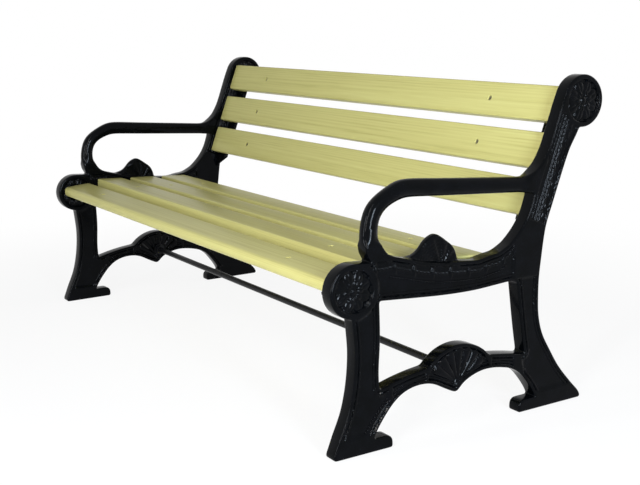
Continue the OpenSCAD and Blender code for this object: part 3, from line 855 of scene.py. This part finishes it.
def black_bar_paint():
    """Hot rolled bar under one coat of black paint: satin, with faint draw lines 1.6 mm wide along it."""
    material, tree, shader = new_material("black_bar_paint")
    place = add_node(tree, "ShaderNodeTexCoord").outputs["Object"]
    lengthwise = add_node(tree, "ShaderNodeMapping", {"Vector": place, "Scale": (0.03, 1, 1)}).outputs[0]
    lines = add_node(tree, "ShaderNodeTexNoise",
                     {"Vector": lengthwise, "Scale": 1 / (1.6 * MM), "Detail": 3.0}).outputs["Fac"]
    shade = add_node(tree, "ShaderNodeValToRGB", {0: lines}, stops=((0.3, "#060608"), (0.75, "#0E0F12")))
    rough = add_node(tree, "ShaderNodeMapRange", {"Value": lines, "To Min": 0.3, "To Max": 0.5})
    bump = add_node(tree, "ShaderNodeBump", {"Height": lines, "Strength": 0.2, "Distance": 0.2 * MM})
    link_surface(tree, shader, shade, rough, bump)
    shader.inputs["IOR"].default_value = 1.5
    shader.inputs["Specular IOR Level"].default_value = 0.15
    return material


def stained_timber():
    """Planed softwood under a pale olive-yellow gloss stain: streaks along the grain, rings on the end grain.

    Real grain is under 1 mm wide and wouldn't show in the render, so its streaks are drawn 3.2 and 14 mm wide
    and its rings 11 mm apart.
    """
    material, tree, shader = new_material("stained_timber")
    place = add_node(tree, "ShaderNodeAttribute", attribute_name="board").outputs["Vector"]
    bench = add_node(tree, "ShaderNodeTexCoord").outputs["Object"]
    per_board = add_node(tree, "ShaderNodeMapping", {"Vector": bench, "Scale": (0.02, 0.6, 0.6)}).outputs[0]
    drift = add_node(tree, "ShaderNodeTexNoise",
                     {"Vector": per_board, "Scale": 1 / (160 * MM), "Detail": 1.0}).outputs["Color"]
    drawn_out = add_node(tree, "ShaderNodeMapping", {"Vector": bench, "Scale": (0.018, 1, 1)}).outputs[0]
    streaks = add_node(tree, "ShaderNodeTexNoise",
                       {"Vector": drawn_out, "Scale": 1 / (3.2 * MM), "Detail": 5.0,
                        "Roughness": 0.62}).outputs["Fac"]
    broad = add_node(tree, "ShaderNodeTexNoise",
                     {"Vector": drawn_out, "Scale": 1 / (14 * MM), "Detail": 2.0}).outputs["Fac"]
    bend = add_node(tree, "ShaderNodeVectorMath", {0: drift, "Scale": 0.03}, operation="SCALE").outputs[0]
    bent = add_node(tree, "ShaderNodeVectorMath", {0: place, 1: bend}, operation="ADD").outputs[0]
    heart = add_node(tree, "ShaderNodeMapping",
                     {"Vector": bent, "Location": (0, 0.012, 0.07), "Scale": (0.035, 1, 1)}).outputs[0]
    rings = add_node(tree, "ShaderNodeTexWave",
                     {"Vector": heart, "Scale": 1 / (11 * MM), "Distortion": 2.2, "Detail": 3.0,
                      "Detail Scale": 1.5}, wave_type="RINGS", rings_direction="X").outputs["Fac"]
    figure = add_node(tree, "ShaderNodeMath", {0: streaks, 1: 0.55}, operation="MULTIPLY").outputs[0]
    for pattern, share in ((rings, 0.16), (broad, 0.3)):
        figure = add_node(tree, "ShaderNodeMath", {0: pattern, 1: share, 2: figure},
                          operation="MULTIPLY_ADD").outputs[0]
    shade = add_node(tree, "ShaderNodeValToRGB", {0: figure},
                     stops=((0.22, "#9F985A"), (0.46, "#B6B06F"), (0.62, "#BBB675"), (0.8, "#C3BF80")))
    rough = add_node(tree, "ShaderNodeMapRange", {"Value": streaks, "To Min": 0.24, "To Max": 0.42})
    bump = add_node(tree, "ShaderNodeBump", {"Height": figure, "Strength": 0.12, "Distance": 0.3 * MM})
    link_surface(tree, shader, shade, rough, bump)
    shader.inputs["IOR"].default_value = 1.5
    shader.inputs["Specular IOR Level"].default_value = 0.07
    return material


def dull_zinc():
    """Zinc plated steel that has weathered: a grey mottle 2.5 mm wide, rougher where it has dulled."""
    material, tree, shader = new_material("dull_zinc")
    place = add_node(tree, "ShaderNodeTexCoord").outputs["Object"]
    mottle = add_node(tree, "ShaderNodeTexNoise",
                      {"Vector": place, "Scale": 1 / (2.5 * MM), "Detail": 4.0}).outputs["Fac"]
    shade = add_node(tree, "ShaderNodeValToRGB", {0: mottle}, stops=((0.3, "#6F6A52"), (0.7, "#A8A590")))
    rough = add_node(tree, "ShaderNodeMapRange", {"Value": mottle, "To Min": 0.35, "To Max": 0.6})
    bump = add_node(tree, "ShaderNodeBump", {"Height": mottle, "Strength": 0.15, "Distance": 0.1 * MM})
    link_surface(tree, shader, shade, rough, bump)
    shader.inputs["Metallic"].default_value = 1.0
    return material


def dress(piece, material):
    """Gives a piece its one material."""
    piece.data.materials.clear()
    piece.data.materials.append(material)


def stand_for(piece, node, material):
    """Lets a finished piece take the place of its CAD node."""
    dress(piece, material)
    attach(piece, "root")
    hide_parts(node)


IRON = gloss_black_casting()
BAR = black_bar_paint()
TIMBER = stained_timber()
ZINC = dull_zinc()

casting_plate = casting_shell()
for end, side in (("right", 1), ("left", -1)):
    node = "end_frame_" + end
    stand_for(end_frame("cast_" + node, side, casting_plate), node, IRON)

for i, node in enumerate(("seat_slat_front", "seat_slat_second", "seat_slat_third", "seat_slat_rear")):
    stand_for(slat("timber_" + node, SEAT_PLACES[i], SEAT_SLAT_T, i == 0), node, TIMBER)
for i, node in enumerate(("back_slat_bottom", "back_slat_middle", "back_slat_top")):
    stand_for(slat("timber_" + node, BACK_PLACES[i], BACK_SLAT_T), node, TIMBER)

for name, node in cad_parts.items():
    if "iron" in name or "tie_rod" in name:
        dress(node, BAR)
    elif "bolt" in name or "screw" in name or "washer" in name or "nut" in name:
        dress(node, ZINC)


# Floor, lights and camera

FLOOR_R = 14
FLOOR_DROP = 0.0004
CAMERA_PLACE = (2.8715, -1.69055, 1.0055)
CAMERA_AZIMUTH = 1.00597
CAMERA_DOWN = 0.20529
CAMERA_ROLL = -0.01401
FOCAL_PIXELS = 1095.4
IMAGE_WIDTH = 640
SENSOR_WIDTH = 36


def seen_as_background(tree):
    """1 for rays that show the background: camera, glossy and transmission rays."""
    path = add_node(tree, "ShaderNodeLightPath").outputs
    seen = path["Is Camera Ray"]
    for ray in ("Is Glossy Ray", "Is Transmission Ray"):
        seen = add_node(tree, "ShaderNodeMath", {0: seen, 1: path[ray]}, operation="MAXIMUM").outputs[0]
    return seen


def pale_floor():
    """A matt white floor that fades into a plain white background beyond the object's shadow."""
    material = bpy.data.materials.new("pale_floor")
    tree = empty_tree(material)
    place = add_node(tree, "ShaderNodeTexCoord").outputs["Object"]
    distance = add_node(tree, "ShaderNodeVectorMath", {0: place}, operation="LENGTH").outputs["Value"]
    fade = add_node(tree, "ShaderNodeMapRange",
                    {"Value": distance, "From Min": 1.0, "From Max": 2.6, "To Min": 0.88, "To Max": 1.0},
                    interpolation_type="SMOOTHSTEP").outputs[0]
    seen = seen_as_background(tree)
    share = add_node(tree, "ShaderNodeMath", {0: fade, 1: seen}, operation="MULTIPLY").outputs[0]
    matt = add_node(tree, "ShaderNodeBsdfDiffuse", {"Color": linear("#F4F4F4")})
    white = add_node(tree, "ShaderNodeEmission", {"Color": linear("#FFFFFF"), "Strength": 1.0})
    mix = add_node(tree, "ShaderNodeMixShader", {0: share, 1: matt.outputs[0], 2: white.outputs[0]})
    add_node(tree, "ShaderNodeOutputMaterial", {"Surface": mix.outputs[0]})
    return material


def floor_piece():
    """A wide round floor at the height of the feet."""
    bm = bmesh.new()
    bmesh.ops.create_circle(bm, cap_ends=True, segments=96, radius=FLOOR_R)
    mesh = bpy.data.meshes.new("floor")
    bm.to_mesh(mesh)
    bm.free()
    floor = bpy.data.objects.new("floor", mesh)
    bpy.context.scene.collection.objects.link(floor)
    floor.location.z = -FLOOR_DROP
    dress(floor, pale_floor())


def area_light(name, place, target, size, power, colour=(1, 1, 1)):
    """A soft oblong lamp at a place, turned towards a target and unseen by the camera."""
    lamp = bpy.data.lights.new(name, "AREA")
    lamp.shape = "RECTANGLE"
    lamp.size, lamp.size_y = size
    lamp.energy = power
    lamp.color = colour
    light = bpy.data.objects.new(name, lamp)
    light.location = place
    light.visible_camera = False
    light.rotation_euler = (Vector(target) - Vector(place)).to_track_quat("-Z", "Y").to_euler()
    bpy.context.scene.collection.objects.link(light)


def studio_world():
    """A plain white surround that lights softly and shows white behind the object."""
    world = bpy.data.worlds.new("studio")
    tree = empty_tree(world)
    soft = add_node(tree, "ShaderNodeBackground", {"Color": linear("#FFFFFF"), "Strength": 0.2})
    white = add_node(tree, "ShaderNodeBackground", {"Color": linear("#FFFFFF"), "Strength": 1.0})
    seen = seen_as_background(tree)
    mix = add_node(tree, "ShaderNodeMixShader", {0: seen, 1: soft.outputs[0], 2: white.outputs[0]})
    add_node(tree, "ShaderNodeOutputWorld", {"Surface": mix.outputs[0]})
    bpy.context.scene.world = world


def camera():
    """The photograph's viewpoint, right of the bench's front: turned by its azimuth, tilted and rolled."""
    ca, sa = math.cos(CAMERA_AZIMUTH), math.sin(CAMERA_AZIMUTH)
    ce, se = math.cos(CAMERA_DOWN), math.sin(CAMERA_DOWN)
    forward = Vector((-sa * ce, ca * ce, -se))
    right = Vector((ca, sa, 0))
    up = right.cross(forward)
    across = math.cos(CAMERA_ROLL) * right + math.sin(CAMERA_ROLL) * up
    upward = -math.sin(CAMERA_ROLL) * right + math.cos(CAMERA_ROLL) * up
    lens = bpy.data.cameras.new("camera")
    lens.sensor_width = SENSOR_WIDTH
    lens.lens = SENSOR_WIDTH * FOCAL_PIXELS / IMAGE_WIDTH
    piece = bpy.data.objects.new("camera", lens)
    turn = Matrix((across, upward, -forward)).transposed().to_4x4()
    piece.matrix_world = Matrix.Translation(CAMERA_PLACE) @ turn
    bpy.context.scene.collection.objects.link(piece)
    bpy.context.scene.camera = piece


floor_piece()
studio_world()
area_light("key", (1.9, -2.0, 1.3), (0.6, 0, 0.55), (0.16, 1.7), 42, (1.0, 0.98, 0.96))
area_light("side", (3.4, -0.6, 0.8), (0.9, 0, 0.5), (0.3, 1.5), 110, (0.74, 0.86, 1.0))
area_light("high", (1.7, -2.2, 2.9), (0.7, 0, 0.6), (0.06, 1.2), 16, (0.96, 0.97, 1.0))
area_light("behind", (0.2, 3.4, 1.7), (0, 0.3, 0.5), (2.6, 1.2), 42)
area_light("strip", (0.35, -2.6, 0.85), (0.8, -0.2, 0.6), (0.18, 1.3), 30, (0.88, 0.93, 1.0))
camera()
bpy.context.scene.view_settings.view_transform = "Standard"
